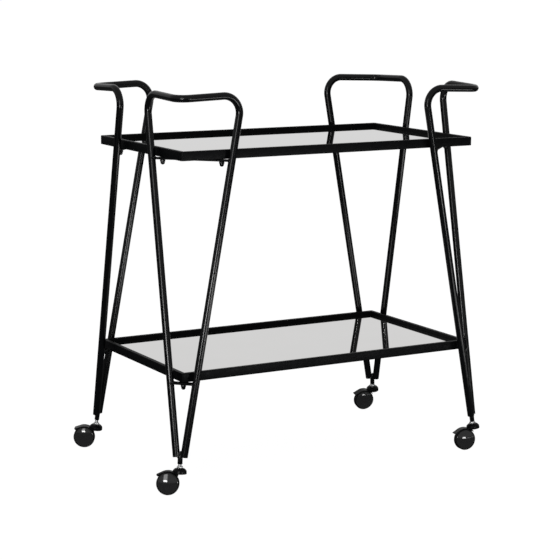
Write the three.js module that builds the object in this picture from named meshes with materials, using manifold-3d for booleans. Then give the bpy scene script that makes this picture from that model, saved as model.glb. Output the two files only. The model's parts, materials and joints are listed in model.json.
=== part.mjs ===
// A bar cart on four swivel casters, in millimetres, +Z up. X runs along the cart, Y from its
// front long side to its back one. The origin is on the floor, under the middle of the cart's box.
//
// Each corner has one bent steel tube: two risers that meet in a V at the foot, and between their
// tops a handle loop that turns the tray's corner. Two flat braces tie the risers together and
// carry the tray and the shelf. The casters' stems screw into a socket between the feet of the V,
// which leans outwards with it.
import * as THREE from "three";
import { mergeVertices } from "three/addons/utils/BufferGeometryUtils.js";
import Module from "manifold-3d";

const wasm = await Module();
wasm.setup();

// ---------- driving dimensions ----------

const GAP = 0.3; // between pieces that touch

// Leg tubes. Plan positions are those of a corner at +X +Y, and the other corners mirror them.
const TUBE_RADIUS = 8;
const TUBE_SIDES = 12;
const FOOT_Z = 82; // cut ends of the V
const HANDLE_Z = 854.2; // where a riser's line meets the handle's line
const CORNER_Z = 848.8; // the handle dips a little towards the corner
const END_RISER = { foot: [389.8, 209.8], top: [384.6, 63.0] }; // beside the tray's short end
const SIDE_RISER = { foot: [377.8, 222.4], top: [232.9, 216.7] }; // beside the tray's long side
const RISER_BEND = 37;
const CORNER_BEND = 28;
const BEND_STEPS = 5;

// Tray and shelf: a rectangular-tube frame with a ledge that holds a board and a mirror.
const FRAME_LENGTH = 746.4;
const FRAME_DEPTH = 413;
const FRAME_HEIGHT = 20;
const FRAME_CORNER = 5;
const FRAME_CORNER_STEPS = 4;
const RAIL_WIDTH = 10;
const LEDGE_WIDTH = 10;
const LEDGE_THICKNESS = 1.8;
const MIRROR_THICKNESS = 4;
const MIRROR_DROP = 8.4; // the mirror's face lies this far under the frame's top edge
const PANEL_CLEARANCE = 0.6; // between the frame's inner wall and the panels
const TRAY_TOP_Z = 738;
const SHELF_TOP_Z = 262;

// Braces, and the studs and cap nuts that hold the tray and the shelf on them.
const BRACE_WIDTH = 16;
const BRACE_THICKNESS = 4;
const BRACE_DROP = 1; // paint between a frame and its brace
const STUD_RADIUS = 3;
const STUD_BORE = 3.3;
const STUD_LENGTH = 8; // below the brace
const STUD_SIDES = 12;
const NUT_RADIUS = 5.8; // across corners, for a 10 mm spanner
const NUT_HEX_HEIGHT = 5;
const NUT_DOME_RADIUS = 4.8;
const NUT_HEIGHT = 11.5;
const NUT_BORE_DEPTH = 9;

// Caster sockets, stems and casters. Heights along a stem are counted from the wheels' axis.
const SOCKET_RADIUS = 5.5;
const SOCKET_BOTTOM_Z = 67;
const SOCKET_LENGTH = 26;
const STEM_RADIUS = 3.9;
const STEM_BORE = 4.3;
const STEM_BOTTOM = 23;
const STEM_TOP = 58;
const STEM_SIDES = 12;
const HEX_RADIUS = 7.5; // across corners, for a 13 mm spanner
const HEX_HEIGHT = 5;
const WHEEL_RADIUS = 25;
const WHEEL_SIDES = 24;
const WHEEL_INSIDE = 1.8; // from the caster's middle plane to a wheel's inner face
const WHEEL_OUTSIDE = 11; // and to the top of its dome
const TREAD_OUTSIDE = 4.8; // and to the end of its flat tread
const DOME_RADIUS = 62; // of the crowned outer face
const DOME_EDGE = 22; // where the crowned face turns over to the tread
const DOME_STEPS = 3;
const WHEEL_CLEARANCE = 0.8;
const AXLE_RADIUS = 2.5;
const AXLE_BORE = 2.8;
const AXLE_LENGTH = 15;
const TRAIL = 24.5; // from the stem's axis to the axle
const BOSS_RADIUS = 15.5;
const BOSS_BOTTOM = 21.5;
const BOSS_TOP = 33.7;
const FIN_THICKNESS = 3;
const HUB_RADIUS = 6.5;
const HOOD_WIDTH = 20;
const HOOD_THICKNESS = 2;
const HOOD_START = 35.6; // degrees round the axle, from the trailing side
const HOOD_END = 142;
const HOOD_LIP = 31.5; // from the axle to the tip of the hood's lip
const HOOD_STEPS = 10;
const BOSS_SIDES = 18;

// Which way each caster trails, in degrees from +X, as the cart stands.
const CORNERS = [
  { name: "front_left", x: -1, y: -1, heading: 150 },
  { name: "front_right", x: 1, y: -1, heading: 167 },
  { name: "back_left", x: -1, y: 1, heading: 150 },
  { name: "back_right", x: 1, y: 1, heading: 167 },
];

// ---------- materials ----------

const blackPaint = new THREE.MeshStandardMaterial({ color: 0x0d0d0e, roughness: 0.38, metalness: 0.3 });
const blackPlastic = new THREE.MeshStandardMaterial({ color: 0x0b0b0c, roughness: 0.2, metalness: 0 });
const zinc = new THREE.MeshStandardMaterial({ color: 0xb9bcbd, roughness: 0.3, metalness: 1 });
const mirrorGlass = new THREE.MeshStandardMaterial({ color: 0xe9ebea, roughness: 0.03, metalness: 1 });
const fibreboard = new THREE.MeshStandardMaterial({ color: 0x1a1918, roughness: 0.8, metalness: 0 });

// ---------- solids ----------

function toSolid(geometry) {
  const bare = geometry.clone();
  bare.deleteAttribute("normal");
  bare.deleteAttribute("uv");
  const merged = mergeVertices(bare, 1e-4);
  return new wasm.Manifold(
    new wasm.Mesh({
      numProp: 3,
      vertProperties: merged.attributes.position.array,
      triVerts: new Uint32Array(merged.index.array),
    }),
  );
}

function toGeometry(solid) {
  const mesh = solid.getMesh();
  const geometry = new THREE.BufferGeometry();
  geometry.setAttribute("position", new THREE.BufferAttribute(mesh.vertProperties, 3));
  geometry.setIndex(new THREE.BufferAttribute(mesh.triVerts, 1));
  geometry.computeVertexNormals();
  return geometry;
}

function join(...geometries) {
  return toGeometry(geometries.map(toSolid).reduce((a, b) => a.add(b)));
}

function cut(geometry, ...tools) {
  return toGeometry(tools.map(toSolid).reduce((a, b) => a.subtract(b), toSolid(geometry)));
}

// A solid of revolution about Z. The profile is a list of [radius, height].
function turned(profile, sides) {
  const points = profile.map(([radius, height]) => new THREE.Vector2(radius, height));
  return new THREE.LatheGeometry(points, sides).rotateX(Math.PI / 2);
}

function cylinder(radius, bottom, top, sides) {
  const geometry = new THREE.CylinderGeometry(radius, radius, top - bottom, sides);
  return geometry.rotateX(Math.PI / 2).translate(0, 0, (bottom + top) / 2);
}

function mesh(name, geometry, material) {
  const made = new THREE.Mesh(geometry, material);
  made.name = name;
  return made;
}

// ---------- leg tubes ----------

// The middle of a riser at a height, for the corner at +X +Y.
function riserAt(riser, z) {
  const share = (z - FOOT_Z) / (HANDLE_Z - FOOT_Z);
  const [x, y] = [0, 1].map((i) => THREE.MathUtils.lerp(riser.foot[i], riser.top[i], share));
  return new THREE.Vector3(x, y, z);
}

// A path whose steps fall on its listed stations, so that straight stretches take only one step.
class StationPath extends THREE.Curve {
  constructor(stations) {
    super();
    this.stations = stations;
  }
  getPoint(t, target = new THREE.Vector3()) {
    const along = t * (this.stations.length - 1);
    const index = Math.min(Math.floor(along), this.stations.length - 2);
    return target.lerpVectors(this.stations[index], this.stations[index + 1], along - index);
  }
  getPointAt(u, target) {
    return this.getPoint(u, target);
  }
  getTangentAt(u, target) {
    return this.getTangent(u, target);
  }
}

// The stations of the round bend that replaces a sharp corner of a path.
function bend(before, corner, after, radius) {
  const back = before.clone().sub(corner).normalize();
  const onward = after.clone().sub(corner).normalize();
  const turn = Math.PI - back.angleTo(onward);
  const start = corner.clone().addScaledVector(back, radius * Math.tan(turn / 2));
  const toCentre = onward.clone().addScaledVector(back, -back.dot(onward)).normalize();
  const centre = start.clone().addScaledVector(toCentre, radius);
  return Array.from({ length: BEND_STEPS + 1 }, (_, i) => {
    const angle = (turn * i) / BEND_STEPS;
    return centre
      .clone()
      .addScaledVector(toCentre, -radius * Math.cos(angle))
      .addScaledVector(back, -radius * Math.sin(angle));
  });
}

function legTube(corner, radius) {
  const place = (point) => point.multiply(new THREE.Vector3(corner.x, corner.y, 1));
  const endFoot = place(riserAt(END_RISER, FOOT_Z));
  const endTop = place(riserAt(END_RISER, HANDLE_Z));
  const turnPoint = place(new THREE.Vector3(END_RISER.top[0], SIDE_RISER.top[1], CORNER_Z));
  const sideTop = place(riserAt(SIDE_RISER, HANDLE_Z));
  const sideFoot = place(riserAt(SIDE_RISER, FOOT_Z));
  const stations = [
    endFoot,
    ...bend(endFoot, endTop, turnPoint, RISER_BEND),
    ...bend(endTop, turnPoint, sideTop, CORNER_BEND),
    ...bend(turnPoint, sideTop, sideFoot, RISER_BEND),
    sideFoot,
  ];
  const section = new THREE.Shape().absarc(0, 0, radius, 0, 2 * Math.PI);
  return new THREE.ExtrudeGeometry(section, {
    curveSegments: TUBE_SIDES / 2, // a whole circle gets twice as many
    steps: stations.length - 1,
    extrudePath: new StationPath(stations),
  });
}

// ---------- caster sockets ----------

// The socket's axis halves the angle of the V. It is a point at the feet and a direction up.
function socketAxis(corner) {
  const middle = (z) => riserAt(END_RISER, z).add(riserAt(SIDE_RISER, z)).divideScalar(2);
  const mirror = new THREE.Vector3(corner.x, corner.y, 1);
  const foot = middle(FOOT_Z).multiply(mirror);
  const up = middle(HANDLE_Z).multiply(mirror).sub(foot).normalize();
  return { foot, up };
}

// A frame with its origin on a socket's axis at a height, Z up along it, and X towards a heading.
function placeOnAxis(group, { foot, up }, z, heading) {
  const flat = new THREE.Vector3(Math.cos(heading), Math.sin(heading), 0);
  const trailing = flat.addScaledVector(up, -flat.dot(up)).normalize();
  const sideways = new THREE.Vector3().crossVectors(up, trailing);
  const turn = new THREE.Matrix4().makeBasis(trailing, sideways, up);
  group.quaternion.setFromRotationMatrix(turn);
  group.position.copy(foot).addScaledVector(up, (z - foot.z) / up.z);
  group.updateMatrix();
  return group;
}

function socketGeometry() {
  return turned(
    [
      [STEM_BORE, 0],
      [SOCKET_RADIUS, 0],
      [SOCKET_RADIUS, SOCKET_LENGTH],
      [STEM_BORE, SOCKET_LENGTH],
      [STEM_BORE, 0],
    ],
    STEM_SIDES,
  );
}

// ---------- braces and cap nuts ----------

function flatBar(from, to, bottom) {
  const length = from.distanceTo(to);
  const bar = new THREE.BoxGeometry(length, BRACE_WIDTH, BRACE_THICKNESS);
  bar.rotateZ(Math.atan2(to.y - from.y, to.x - from.x));
  const middle = from.clone().add(to).divideScalar(2);
  return bar.translate(middle.x, middle.y, bottom + BRACE_THICKNESS / 2);
}

// A brace runs from riser to riser under a frame, with its ends fitted round the tubes.
function brace(corner, bottom, studs) {
  const mirror = new THREE.Vector3(corner.x, corner.y, 1);
  const level = bottom + BRACE_THICKNESS / 2;
  const ends = [END_RISER, SIDE_RISER].map((riser) => riserAt(riser, level).multiply(mirror));
  const holes = studs.map(([x, y]) =>
    cylinder(STUD_BORE, bottom - GAP, bottom + BRACE_THICKNESS + GAP, STUD_SIDES).translate(x, y, 0),
  );
  return cut(flatBar(...ends, bottom), legTube(corner, TUBE_RADIUS + GAP), ...holes);
}

// Where a brace's line crosses the middle of the frame's two rails.
function railCrossings(corner, z) {
  const end = riserAt(END_RISER, z);
  const side = riserAt(SIDE_RISER, z);
  const railX = (FRAME_LENGTH - RAIL_WIDTH) / 2;
  const railY = (FRAME_DEPTH - RAIL_WIDTH) / 2;
  const atEnd = end.clone().lerp(side, (railX - end.x) / (side.x - end.x));
  const atSide = end.clone().lerp(side, (railY - end.y) / (side.y - end.y));
  return [
    [corner.x * railX, corner.y * atEnd.y],
    [corner.x * atSide.x, corner.y * railY],
  ];
}

function frameCorner(corner) {
  return [(corner.x * (FRAME_LENGTH - RAIL_WIDTH)) / 2, (corner.y * (FRAME_DEPTH - RAIL_WIDTH)) / 2];
}

// A cap nut that hangs under z = 0: a hexagon, a dome below it, and a blind bore from above.
function capNutGeometry() {
  const hex = cylinder(NUT_RADIUS, -GAP - NUT_HEX_HEIGHT, -GAP, 6);
  const domeStraight = -NUT_HEIGHT + NUT_DOME_RADIUS;
  const dome = turned(
    [
      [0, -NUT_HEIGHT],
      [NUT_DOME_RADIUS * Math.sin(Math.PI / 6), -NUT_DOME_RADIUS * Math.cos(Math.PI / 6) + domeStraight],
      [NUT_DOME_RADIUS * Math.sin(Math.PI / 3), -NUT_DOME_RADIUS * Math.cos(Math.PI / 3) + domeStraight],
      [NUT_DOME_RADIUS, domeStraight],
      [NUT_DOME_RADIUS, -1],
      [0, -1],
    ],
    STUD_SIDES,
  );
  return cut(join(hex, dome), cylinder(STUD_BORE, -NUT_BORE_DEPTH, 1, STUD_SIDES));
}

// ---------- tray and shelf ----------

function roundedRectangle(length, depth, radius) {
  const [x, y] = [length / 2, depth / 2];
  const outline = new THREE.Shape();
  outline.absarc(x - radius, y - radius, radius, 0, Math.PI / 2);
  outline.absarc(-x + radius, y - radius, radius, Math.PI / 2, Math.PI);
  outline.absarc(-x + radius, -y + radius, radius, Math.PI, 1.5 * Math.PI);
  outline.absarc(x - radius, -y + radius, radius, 1.5 * Math.PI, 2 * Math.PI);
  return outline;
}

function rectangle(length, depth) {
  const [x, y] = [length / 2, depth / 2];
  return new THREE.Shape([
    new THREE.Vector2(x, y),
    new THREE.Vector2(-x, y),
    new THREE.Vector2(-x, -y),
    new THREE.Vector2(x, -y),
  ]);
}

function slab(outline, bottom, top) {
  const options = { depth: top - bottom, bevelEnabled: false, curveSegments: FRAME_CORNER_STEPS / 2 };
  return new THREE.ExtrudeGeometry(outline, options).translate(0, 0, bottom);
}

function ring(width, bottom, top) {
  const outline = roundedRectangle(FRAME_LENGTH, FRAME_DEPTH, FRAME_CORNER);
  outline.holes.push(rectangle(FRAME_LENGTH - 2 * width, FRAME_DEPTH - 2 * width));
  return slab(outline, bottom, top);
}

// The frame's bottom is at z = 0 here, and its studs hang from it.
function trayFrame(studs) {
  const rails = ring(RAIL_WIDTH, 0, FRAME_HEIGHT);
  const ledge = ring(RAIL_WIDTH + LEDGE_WIDTH, 0, LEDGE_THICKNESS);
  const studEnd = -BRACE_DROP - BRACE_THICKNESS - STUD_LENGTH;
  const welded = studs.map(([x, y]) => cylinder(STUD_RADIUS, studEnd, 1, STUD_SIDES).translate(x, y, 0));
  return join(rails, ledge, ...welded);
}

function panel(bottom, top) {
  const around = 2 * (RAIL_WIDTH + PANEL_CLEARANCE);
  return slab(rectangle(FRAME_LENGTH - around, FRAME_DEPTH - around), bottom, top);
}

function tray(name, topZ, studs) {
  const mirrorTop = FRAME_HEIGHT - MIRROR_DROP;
  const mirrorBottom = mirrorTop - MIRROR_THICKNESS;
  const group = new THREE.Group();
  group.position.z = topZ - FRAME_HEIGHT;
  group.add(mesh(`${name}_frame`, trayFrame(studs), blackPaint));
  group.add(mesh(`${name}_board`, panel(LEDGE_THICKNESS + GAP, mirrorBottom - GAP), fibreboard));
  group.add(mesh(`${name}_mirror`, panel(mirrorBottom, mirrorTop), mirrorGlass));
  return group;
}

// ---------- casters ----------

// The caster's own frame has Z up along the stem, X towards the trailing side and the axle at
// height 0. The wheels turn about an axis along Y at x = TRAIL.

function alongY(outline, width) {
  const options = { depth: width, bevelEnabled: false, curveSegments: HOOD_STEPS / 2 };
  return new THREE.ExtrudeGeometry(outline, options).translate(0, 0, -width / 2).rotateX(Math.PI / 2);
}

function casterHood() {
  const inner = WHEEL_RADIUS + WHEEL_CLEARANCE;
  const outer = inner + HOOD_THICKNESS;
  const [start, end] = [HOOD_START, HOOD_END].map(THREE.MathUtils.degToRad);
  const tangent = start + Math.acos(outer / HOOD_LIP); // where the lip's straight back meets the arc
  const outline = new THREE.Shape();
  outline.absarc(TRAIL, 0, outer, tangent, end);
  outline.absarc(TRAIL, 0, inner, end, start, true);
  outline.lineTo(TRAIL + HOOD_LIP * Math.cos(start), HOOD_LIP * Math.sin(start));
  return alongY(outline, HOOD_WIDTH);
}

// The flat web between the wheels, from the boss and hood down round the axle.
function casterFin() {
  const edge = WHEEL_RADIUS + WHEEL_CLEARANCE + HOOD_THICKNESS / 2;
  const start = THREE.MathUtils.degToRad(HOOD_START);
  const end = THREE.MathUtils.degToRad(HOOD_END);
  const outline = new THREE.Shape();
  outline.absarc(TRAIL, 0, edge, start, end);
  outline.lineTo(-BOSS_RADIUS / 3, BOSS_BOTTOM + 1);
  outline.lineTo(TRAIL - HUB_RADIUS, 0);
  outline.absarc(TRAIL, 0, HUB_RADIUS, Math.PI, 2 * Math.PI);
  return alongY(outline, FIN_THICKNESS);
}

function casterBoss() {
  return turned(
    [
      [0, BOSS_BOTTOM],
      [BOSS_RADIUS - 1, BOSS_BOTTOM],
      [BOSS_RADIUS, BOSS_BOTTOM + 1],
      [BOSS_RADIUS - 0.6, BOSS_TOP - 6],
      [BOSS_RADIUS - 2.6, BOSS_TOP - 2.4],
      [BOSS_RADIUS - 6, BOSS_TOP],
      [0, BOSS_TOP],
    ],
    BOSS_SIDES,
  );
}

function casterBody() {
  const inner = WHEEL_RADIUS + WHEEL_CLEARANCE;
  const room = new THREE.CylinderGeometry(inner, inner, 3 * BOSS_RADIUS, 2 * BOSS_SIDES);
  const stemHole = cylinder(STEM_BORE, STEM_BOTTOM - GAP, BOSS_TOP + GAP, STEM_SIDES);
  const axleHole = new THREE.CylinderGeometry(AXLE_BORE, AXLE_BORE, 2 * FIN_THICKNESS, STEM_SIDES);
  const shell = join(cut(casterBoss(), room.translate(TRAIL, 0, 0)), casterHood(), casterFin());
  return cut(shell, stemHole, axleHole.translate(TRAIL, 0, 0));
}

// One wheel, with its inner face at height 0 and its dome at the top, turned about Z.
function wheelGeometry() {
  const dome = WHEEL_OUTSIDE - WHEEL_INSIDE;
  const tread = TREAD_OUTSIDE - WHEEL_INSIDE;
  const bore = AXLE_LENGTH / 2 - WHEEL_INSIDE + GAP;
  const crown = Array.from({ length: DOME_STEPS + 1 }, (_, i) => {
    const radius = DOME_EDGE * (1 - i / DOME_STEPS);
    return [radius, dome - DOME_RADIUS + Math.sqrt(DOME_RADIUS ** 2 - radius ** 2)];
  });
  return turned(
    [
      [0, bore],
      [AXLE_BORE, bore],
      [AXLE_BORE, 0],
      [WHEEL_RADIUS - 0.8, 0],
      [WHEEL_RADIUS, 0.8],
      [WHEEL_RADIUS, tread],
      [WHEEL_RADIUS - 0.9, tread + 1.2],
      ...crown,
    ],
    WHEEL_SIDES,
  );
}

function stemGeometry() {
  const hexBottom = BOSS_TOP + GAP;
  const shank = cylinder(STEM_RADIUS, STEM_BOTTOM, STEM_TOP, STEM_SIDES);
  return join(shank, cylinder(HEX_RADIUS, hexBottom, hexBottom + HEX_HEIGHT, 6));
}

function caster(corner) {
  const group = new THREE.Group();
  const name = `caster_${corner.name}`;
  const left = mesh(`${name}_wheel_left`, wheelGeometry(), blackPlastic);
  left.rotation.x = -Math.PI / 2;
  left.position.set(TRAIL, WHEEL_INSIDE, 0);
  const right = mesh(`${name}_wheel_right`, wheelGeometry(), blackPlastic);
  right.rotation.x = Math.PI / 2;
  right.position.set(TRAIL, -WHEEL_INSIDE, 0);
  const axleRod = cylinder(AXLE_RADIUS, -AXLE_LENGTH / 2, AXLE_LENGTH / 2, STEM_SIDES);
  const axle = mesh(`${name}_axle`, axleRod, zinc);
  axle.rotation.x = Math.PI / 2;
  axle.position.set(TRAIL, 0, 0);
  group.add(left, right, axle);
  group.add(mesh(`${name}_body`, casterBody(), blackPlastic));
  group.add(mesh(`${name}_stem`, stemGeometry(), zinc));
  return group;
}

// Each stem is screwed in until the caster's lower wheel stands on the floor.
function standOnFloor(group, axis, heading) {
  placeOnAxis(group, axis, WHEEL_RADIUS, heading);
  const lowest = new THREE.Box3().setFromObject(group, true).min.z;
  return placeOnAxis(group, axis, WHEEL_RADIUS - lowest, heading);
}

// ---------- assembly ----------

const cart = new THREE.Group();
const trayBottom = TRAY_TOP_Z - FRAME_HEIGHT;
const shelfBottom = SHELF_TOP_Z - FRAME_HEIGHT;
const upperBraceZ = trayBottom - BRACE_DROP - BRACE_THICKNESS;
const lowerBraceZ = shelfBottom - BRACE_DROP - BRACE_THICKNESS;
const trayStuds = [];
const shelfStuds = [];

for (const corner of CORNERS) {
  const axis = socketAxis(corner);
  const heading = THREE.MathUtils.degToRad(corner.heading);

  const socket = mesh(`caster_${corner.name}_socket`, socketGeometry(), blackPaint);
  placeOnAxis(socket, axis, SOCKET_BOTTOM_Z, heading);
  const notch = cylinder(SOCKET_RADIUS + GAP, -GAP, SOCKET_LENGTH + GAP, STEM_SIDES);
  notch.applyMatrix4(socket.matrix);
  cart.add(socket);
  cart.add(mesh(`leg_tube_${corner.name}`, cut(legTube(corner, TUBE_RADIUS), notch), blackPaint));

  const crossings = railCrossings(corner, upperBraceZ + BRACE_THICKNESS / 2);
  const cornerStud = frameCorner(corner);
  cart.add(mesh(`upper_brace_${corner.name}`, brace(corner, upperBraceZ, crossings), blackPaint));
  cart.add(mesh(`lower_brace_${corner.name}`, brace(corner, lowerBraceZ, [cornerStud]), blackPaint));
  trayStuds.push(...crossings);
  shelfStuds.push(cornerStud);

  const nuts = [
    { name: `tray_nut_${corner.name}_end`, at: crossings[0], z: upperBraceZ },
    { name: `tray_nut_${corner.name}_side`, at: crossings[1], z: upperBraceZ },
    { name: `shelf_nut_${corner.name}`, at: cornerStud, z: lowerBraceZ },
  ];
  for (const { name, at, z } of nuts) {
    const nut = mesh(name, capNutGeometry(), blackPaint);
    nut.position.set(...at, z);
    cart.add(nut);
  }

  cart.add(standOnFloor(caster(corner), axis, heading));
}

cart.add(tray("tray", TRAY_TOP_Z, trayStuds));
cart.add(tray("shelf", SHELF_TOP_Z, shelfStuds));

// The casters all trail to one side, so the cart is moved to stand over the origin.
const middle = new THREE.Box3().setFromObject(cart, true).getCenter(new THREE.Vector3());
cart.position.set(-middle.x, -middle.y, 0);

const group = new THREE.Group();
group.add(cart);

export default group;
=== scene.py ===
import json
import math

import bmesh
import bpy
from mathutils import Matrix, Vector


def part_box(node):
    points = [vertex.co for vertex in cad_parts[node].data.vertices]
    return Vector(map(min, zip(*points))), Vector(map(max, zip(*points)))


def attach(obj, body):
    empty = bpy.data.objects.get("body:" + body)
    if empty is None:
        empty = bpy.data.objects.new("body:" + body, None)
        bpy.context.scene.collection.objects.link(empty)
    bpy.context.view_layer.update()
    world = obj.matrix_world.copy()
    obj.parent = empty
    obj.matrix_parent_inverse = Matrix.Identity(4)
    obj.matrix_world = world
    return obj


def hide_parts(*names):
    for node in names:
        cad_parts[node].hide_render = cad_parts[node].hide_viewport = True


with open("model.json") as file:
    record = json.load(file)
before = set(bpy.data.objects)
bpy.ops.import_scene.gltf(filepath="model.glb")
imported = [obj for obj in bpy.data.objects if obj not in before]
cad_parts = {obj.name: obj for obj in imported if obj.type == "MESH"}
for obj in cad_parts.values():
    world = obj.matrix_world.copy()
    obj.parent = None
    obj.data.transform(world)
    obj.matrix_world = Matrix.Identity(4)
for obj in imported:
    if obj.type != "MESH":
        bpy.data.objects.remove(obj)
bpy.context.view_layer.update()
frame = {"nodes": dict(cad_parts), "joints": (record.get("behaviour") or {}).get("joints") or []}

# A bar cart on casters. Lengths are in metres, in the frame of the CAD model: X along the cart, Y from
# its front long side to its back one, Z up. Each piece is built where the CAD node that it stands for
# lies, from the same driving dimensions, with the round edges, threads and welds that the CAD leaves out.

MM = 0.001
UP = Vector((0, 0, 1))
HEX_POINTS = 96  # points round a hexagonal piece
ON_AXIS = 1e-6  # a turned piece's point nearer to its axis than this is on it

# ---------- driving dimensions ----------

# Leg tubes. Plan positions are those of the corner at +X +Y, from the middle of the tray.
TUBE_RADIUS = 8 * MM
TUBE_BORE = 6.8 * MM
TUBE_SIDES = 48
HOLLOW_DEPTH = 32 * MM  # how far up the open foot of a tube its bore is modelled
RIM_SHARE = 0.2  # share of a foot's wall that its rounded edge takes up
RIM_HEIGHT = 0.2 * MM
FOOT_Z = 82 * MM
HANDLE_Z = 854.2 * MM
CORNER_Z = 848.8 * MM
END_FOOT = Vector((389.8, 209.8)) * MM
END_TOP = Vector((384.6, 63.0)) * MM
SIDE_FOOT = Vector((377.8, 222.4)) * MM
SIDE_TOP = Vector((232.9, 216.7)) * MM
RISER_BEND = 37 * MM
CORNER_BEND = 28 * MM
BEND_STEPS = 22

# Tray and shelf frames. Their outside comes from the CAD nodes.
RAIL_WIDTH = 10 * MM
RAIL_HEIGHT = 20 * MM
RAIL_EDGE = 1.4 * MM
RAIL_EDGE_STEPS = 5
FRAME_CORNER = 5 * MM
INNER_CORNER = 0.8 * MM
CORNER_STEPS = 6
LEDGE_WIDTH = 10 * MM
LEDGE_THICKNESS = 1.8 * MM
LEDGE_RAISE = 0.1 * MM
LEDGE_OVERLAP = 1 * MM
LEDGE_EDGE = 0.35 * MM
MIRROR_ARRIS = 0.7 * MM
BOARD_ARRIS = 0.5 * MM
PANEL_CORNER = 1.5 * MM
SMALL_EDGE_STEPS = 3

# Braces and their welds.
BRACE_WIDTH = 16 * MM
BRACE_THICKNESS = 4 * MM
BRACE_EDGE = 0.7 * MM
BRACE_EDGE_STEPS = 4
BRACE_WELD = 1.5 * MM
BRACE_WELD_GAP = 0.3 * MM
BRACE_WELD_HALF = math.radians(74)
BRACE_WELD_STEPS = 60

# All welds: the pitch and depth of their ripples, and the size of their ends.
WELD_PITCH = 1.9 * MM
WELD_RIPPLE = 0.16
WELD_END = 0.35
WELD_SIDES = 12

# Cap nuts. They hang under z = 0, with a hexagon, a neck and a dome.
NUT_FLATS = 10 * MM
NUT_HEX_HEIGHT = 5 * MM
NUT_FACE_EDGE = 0.2 * MM
NUT_TOP_CHAMFER = 0.9 * MM
NUT_LOW_CHAMFER = 1.1 * MM
NUT_SHOULDER = 0.25 * MM
NUT_SHOULDER_HEIGHT = 0.15 * MM
NUT_NECK = 1.4 * MM
NUT_DOME_RADIUS = 4.8 * MM
NUT_DOME_STEPS = 12
NUT_BORE = 3.3 * MM
NUT_BORE_DEPTH = 9 * MM
NUT_COUNTERSINK = 0.5 * MM

# Sockets and the welds at the feet.
SOCKET_RADIUS = 5.5 * MM
SOCKET_BORE = 4.3 * MM
SOCKET_BOTTOM_Z = 67 * MM
SOCKET_LENGTH = 26 * MM
SOCKET_EDGE = 0.4 * MM
SOCKET_WELD = 1.3 * MM
SOCKET_WELD_GAP = 0.5 * MM
SOCKET_WELD_DROP = 0.3 * MM
SOCKET_WELD_HALF = math.radians(78)
SOCKET_WELD_STEPS = 40
CROTCH_INSET = 3.2 * MM
CROTCH_BEAD = 3.2 * MM
CROTCH_WELD = 13 * MM  # how high the weld between a leg's feet reaches
CROTCH_DROP = 0.4 * MM
CROTCH_STEPS = 30

# Stems. Heights along a stem are counted from the wheels' axis.
STEM_RADIUS = 3.9 * MM
STEM_CHAMFER = 0.7 * MM
STEM_BOTTOM = 23 * MM
STEM_TOP = 58 * MM
STEM_SIDES = 40
THREAD_DEPTH = 0.6 * MM
THREAD_PITCH = 1.25 * MM
THREAD_STEPS = 8  # rings of points for each turn of the thread
THREAD_CREST = 1.3  # above 1, the crests are flat
THREAD_START = 0.6 * MM  # how far under the collar's top the thread begins
HEX_BOTTOM = 34 * MM
HEX_TOP = 39 * MM
HEX_FLATS = 13 * MM
HEX_LOW_EDGE = 0.3 * MM
HEX_LOW_EDGE_HEIGHT = 0.2 * MM
HEX_LOW_CHAMFER = 1 * MM
HEX_TOP_CHAMFER = 2.4 * MM
HEX_CROWN = ((0, 1.3 * MM), (0.9 * MM, 0.15 * MM), (1.3 * MM, 0))  # (inset from a flat, depth)

# Caster bodies and axles.
TRAIL = 24.5 * MM
BOSS_RADIUS = 15.5 * MM
BOSS_BOTTOM = 21.5 * MM
BOSS_TOP = 33.7 * MM
BOSS_CROWN = ((0.5 * MM, 5 * MM), (2.6 * MM, 2.2 * MM), (5.5 * MM, 0))  # (inset, depth)
BOSS_FILLET = 1.2 * MM
BOSS_FILLET_STEPS = 4
BOSS_SIDES = 128
STEM_ROOM = 0.3 * MM
FIN_THICKNESS = 3 * MM
FIN_STEPS = 40
FIN_SPLIT = 6
HUB_RADIUS = 6.5 * MM
HUB_STEPS = 30
HOOD_WIDTH = 20 * MM
HOOD_THICKNESS = 2 * MM
HOOD_START = math.radians(35.6)
HOOD_END = math.radians(142)
HOOD_LIP = 31.5 * MM
HOOD_OUTER_STEPS = 60
HOOD_INNER_STEPS = 72
MOULD_VOXEL = 0.35 * MM
MOULD_SOFTNESS = 0.5
MOULD_SMOOTHING = 6
MOULD_KEPT = 0.3  # share of the moulded body's faces that are kept
MOULD_SLACK = 0.15 * MM  # how far the moulding may stray from the web's flat sides
AXLE_RADIUS = 2.5 * MM
AXLE_BORE = 2.8 * MM
AXLE_LENGTH = 15 * MM
AXLE_CHAMFER = 0.4 * MM
AXLE_ROOM = 0.3 * MM

# Wheels.
WHEEL_RADIUS = 25 * MM
WHEEL_INSIDE = 1.8 * MM
WHEEL_THICKNESS = 9.2 * MM
WHEEL_CLEARANCE = 0.8 * MM
WHEEL_SIDES = 144
WHEEL_HUB = 7 * MM
WHEEL_RIM = 20 * MM
WHEEL_RECESS = 1.6 * MM
WHEEL_FILLET = 0.35 * MM
TREAD_WIDTH = 3 * MM
TREAD_SHOULDER = 1.1 * MM
TREAD_SHOULDER_DEPTH = 0.5 * MM
TREAD_LIP_DEPTH = 0.1 * MM
DOME_RADIUS = 62 * MM
DOME_EDGE = 22 * MM
DOME_STEPS = 40
DOME_BEVEL = 0.08 * MM
DOME_BEVEL_DEPTH = 0.07 * MM
DOME_LIP_DEPTH = 0.25 * MM
GROOVE = 0.45 * MM
GROOVE_DEPTH = 0.7 * MM

CORNERS = {
    "front_left": Vector((-1, -1)),
    "front_right": Vector((1, -1)),
    "back_left": Vector((-1, 1)),
    "back_right": Vector((1, 1)),
}

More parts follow.
